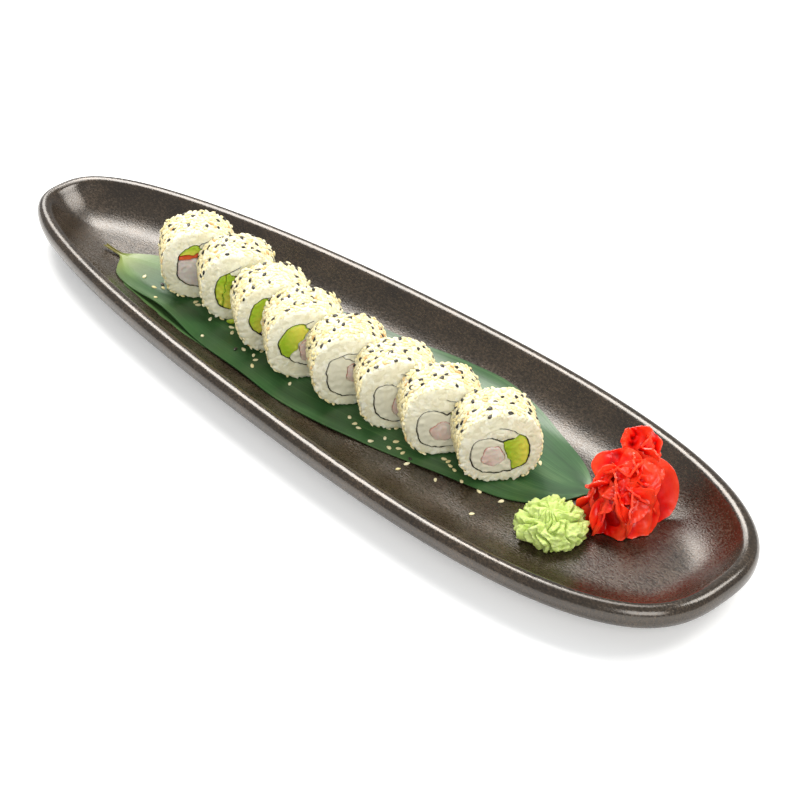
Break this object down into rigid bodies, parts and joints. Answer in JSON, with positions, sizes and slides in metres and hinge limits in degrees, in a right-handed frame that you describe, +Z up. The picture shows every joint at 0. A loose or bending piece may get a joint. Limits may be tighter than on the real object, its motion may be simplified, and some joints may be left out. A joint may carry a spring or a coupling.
{
  "type": "uramaki roll, served as a set",
  "caption": "Inside-out sushi roll pieces with sesame, shrimp, cream cheese and avocado on a bamboo leaf, with wasabi and pickled ginger in a long egg-shaped stoneware dish.",
  "frame": {"origin": "middle of the dish's box, on the table that its foot ring stands on", "axes": "+X along the dish to its wide end, where the ginger is; +Y to the side away from the viewer of the picture; +Z up"},
  "size_m": [0.4956, 0.1466, 0.0522],
  "materials": {
    "stoneware": "satin",
    "leaf": "satin",
    "rice": "moist",
    "nori": "matte",
    "avocado": "satin",
    "cream_cheese": "satin",
    "shrimp": "moist",
    "crab": "moist",
    "wasabi": "matte",
    "ginger": "wet"
  },
  "bodies": {
    "root": {"avocado_scrap": "avocado", "ginger": "ginger", "leaf": "leaf", "plate": "stoneware", "roll_1_avocado": "avocado", "roll_1_crab": "crab", "roll_1_nori": "nori", "roll_1_rice": "rice", "roll_1_shrimp": "shrimp", "roll_2_avocado_left": "avocado", "roll_2_avocado_right": "avocado", "roll_2_crab": "crab", "roll_2_nori": "nori", "roll_2_rice": "rice", "roll_2_shrimp": "shrimp", "roll_3_avocado": "avocado", "roll_3_nori": "nori", "roll_3_rice": "rice", "roll_3_shrimp": "shrimp", "roll_4_avocado": "avocado", "roll_4_cream_cheese": "cream_cheese", "roll_4_nori": "nori", "roll_4_rice": "rice", "roll_4_shrimp": "shrimp", "roll_5_cream_cheese": "cream_cheese", "roll_5_nori": "nori", "roll_5_rice": "rice", "roll_5_shrimp": "shrimp", "roll_6_cream_cheese": "cream_cheese", "roll_6_nori": "nori", "roll_6_rice": "rice", "roll_6_shrimp": "shrimp", "roll_7_avocado": "avocado", "roll_7_cream_cheese": "cream_cheese", "roll_7_nori": "nori", "roll_7_rice": "rice", "roll_7_shrimp": "shrimp", "roll_8_avocado": "avocado", "roll_8_cream_cheese": "cream_cheese", "roll_8_nori": "nori", "roll_8_rice": "rice", "roll_8_shrimp": "shrimp", "wasabi": "wasabi"}
  },
  "joints": []
}
